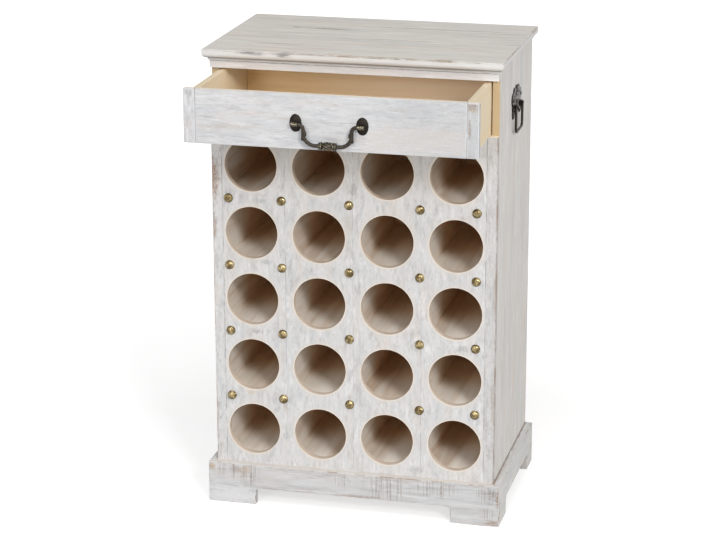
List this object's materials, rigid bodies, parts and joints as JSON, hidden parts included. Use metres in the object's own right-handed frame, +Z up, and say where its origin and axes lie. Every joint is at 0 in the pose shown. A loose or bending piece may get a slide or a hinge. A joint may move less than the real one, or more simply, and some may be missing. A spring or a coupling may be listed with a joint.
{
  "type": "wine cabinet",
  "caption": "Whitewashed wine cabinet with round bottle holes over a cell grid, one drawer with a bail handle, side handles and a bracket-foot plinth.",
  "frame": {"origin": "on the floor under the middle of the whole object, with the drawer as far out as it stands at rest", "axes": "+Z up; the bottle front faces -Y; +X to the right of someone who faces the front"},
  "size_m": [0.512, 0.472, 0.7995],
  "materials": {
    "whitewashed_wood": "thin white paint rubbed back over the grain, matt",
    "raw_wood": "unpainted, matt",
    "antique_brass": "darkened, satin",
    "dark_bronze": "dark antique, satin",
    "steel": "bright"
  },
  "bodies": {
    "cabinet": {"back_panel": "raw_wood", "back_panel_pins": "steel", "bottle_divider_1": "raw_wood", "bottle_divider_2": "raw_wood", "bottle_divider_3": "raw_wood", "bottle_front_1": "whitewashed_wood", "bottle_front_2": "whitewashed_wood", "bottle_front_3": "whitewashed_wood", "bottle_front_4": "whitewashed_wood", "bottle_shelf_1": "raw_wood", "bottle_shelf_2": "raw_wood", "bottle_shelf_3": "raw_wood", "bottle_shelf_4": "raw_wood", "bottom_board": "raw_wood", "brass_nails": "antique_brass", "drawer_deck": "raw_wood", "frieze_rail": "whitewashed_wood", "handle_plate_screws": "dark_bronze", "kicker_screws": "steel", "left_drawer_kicker": "raw_wood", "left_handle_plate": "dark_bronze", "left_side_panel": "whitewashed_wood", "left_stile": "whitewashed_wood", "plinth_back": "raw_wood", "plinth_block_front_left": "raw_wood", "plinth_block_front_right": "raw_wood", "plinth_block_rear_left": "raw_wood", "plinth_block_rear_right": "raw_wood", "plinth_front": "whitewashed_wood", "plinth_left": "whitewashed_wood", "plinth_right": "whitewashed_wood", "right_drawer_kicker": "raw_wood", "right_handle_plate": "dark_bronze", "right_side_panel": "whitewashed_wood", "right_stile": "whitewashed_wood", "top_board": "whitewashed_wood", "top_trim_front": "whitewashed_wood", "top_trim_left": "whitewashed_wood", "top_trim_right": "whitewashed_wood"},
    "drawer": {"drawer_front_panel": "whitewashed_wood", "drawer_left_strip": "whitewashed_wood", "drawer_right_strip": "whitewashed_wood", "drawer_left_side": "raw_wood", "drawer_right_side": "raw_wood", "drawer_back": "raw_wood", "drawer_bottom": "raw_wood", "left_rosette": "dark_bronze", "right_rosette": "dark_bronze", "left_handle_post": "dark_bronze", "right_handle_post": "dark_bronze", "handle_post_screws": "steel"},
    "drawer_handle": {"drawer_bail": "dark_bronze"},
    "left_handle": {"left_handle_bail": "dark_bronze"},
    "right_handle": {"right_handle_bail": "dark_bronze"}
  },
  "joints": [
    {"name": "drawer_slide", "type": "slide", "parent": "cabinet", "child": "drawer", "axis": [0, -1, 0], "range_m": [-0.1495, 0.06]},
    {"name": "drawer_bail_hinge", "type": "hinge", "parent": "drawer", "child": "drawer_handle", "pos_m": [0, -0.23, 0.7175], "axis": [-1, 0, 0], "range_deg": [0, 90]},
    {"name": "left_bail_hinge", "type": "hinge", "parent": "cabinet", "child": "left_handle", "pos_m": [-0.2495, 0.083, 0.695], "axis": [0, 1, 0], "range_deg": [0, 90]},
    {"name": "right_bail_hinge", "type": "hinge", "parent": "cabinet", "child": "right_handle", "pos_m": [0.2495, 0.083, 0.695], "axis": [0, -1, 0], "range_deg": [0, 90]}
  ]
}
